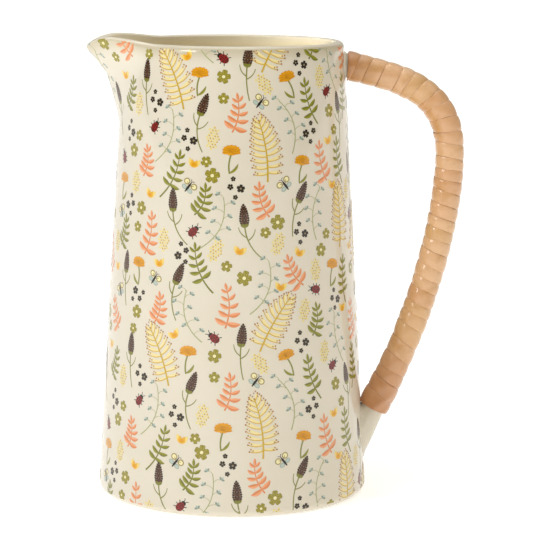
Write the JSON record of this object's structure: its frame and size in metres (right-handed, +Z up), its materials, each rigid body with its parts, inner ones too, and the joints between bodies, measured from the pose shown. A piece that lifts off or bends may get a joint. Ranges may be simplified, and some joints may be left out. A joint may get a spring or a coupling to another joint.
{
  "type": "ceramic pitcher",
  "caption": "Tall tapered ceramic pitcher with a beak spout, all-over botanical print and a loop handle bound in cane.",
  "frame": {"origin": "centre of the foot, on the surface that the pitcher stands on and on the axis of its round body", "axes": "+Z up along the axis of the body, +X towards the handle, -X towards the spout"},
  "size_m": [0.2005, 0.1434, 0.2434],
  "materials": {
    "glazed_body": "clear glossy glaze over ivory stoneware with a printed all-over pattern of sprigs, flowers and insects",
    "glazed_handle": "clear glossy glaze, no print",
    "cane": "flat peeled cane strip, satin, peach-tan with ochre patches and darker edges"
  },
  "bodies": {
    "root": {"jug_body": "glazed_body", "beak_spout": "glazed_body", "handle_core": "glazed_handle", "cane_wrap": "cane"}
  },
  "joints": []
}
